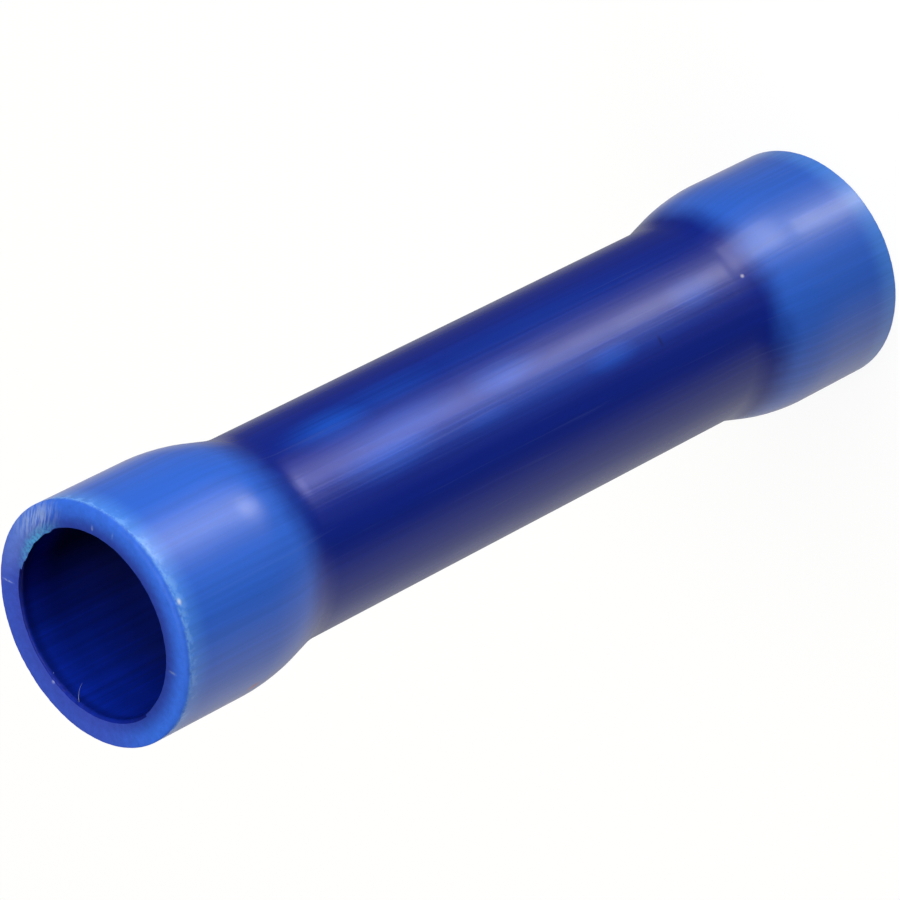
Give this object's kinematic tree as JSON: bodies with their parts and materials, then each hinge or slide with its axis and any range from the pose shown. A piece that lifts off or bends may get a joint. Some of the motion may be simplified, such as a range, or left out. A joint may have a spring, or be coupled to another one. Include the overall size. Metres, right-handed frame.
{
  "type": "butt splice connector",
  "caption": "Blue vinyl-insulated butt splice: a belled sleeve drawn in over a tin-plated copper barrel with a rolled inner stop, for joining stripped wires end to end by crimping.",
  "frame": {"origin": "middle of the lower mouth, on the plane that the cut end stands on", "axes": "+Z along the tube's axis, from the lower mouth to the upper mouth; X and Y are alike, because every piece is round"},
  "size_m": [0.0062, 0.0062, 0.026],
  "materials": {
    "vinyl": "translucent blue vinyl, extruded, semi-gloss",
    "tin_plate": "tin-plated copper, satin"
  },
  "bodies": {
    "root": {"insulation_sleeve": "vinyl", "barrel": "tin_plate"}
  },
  "joints": []
}
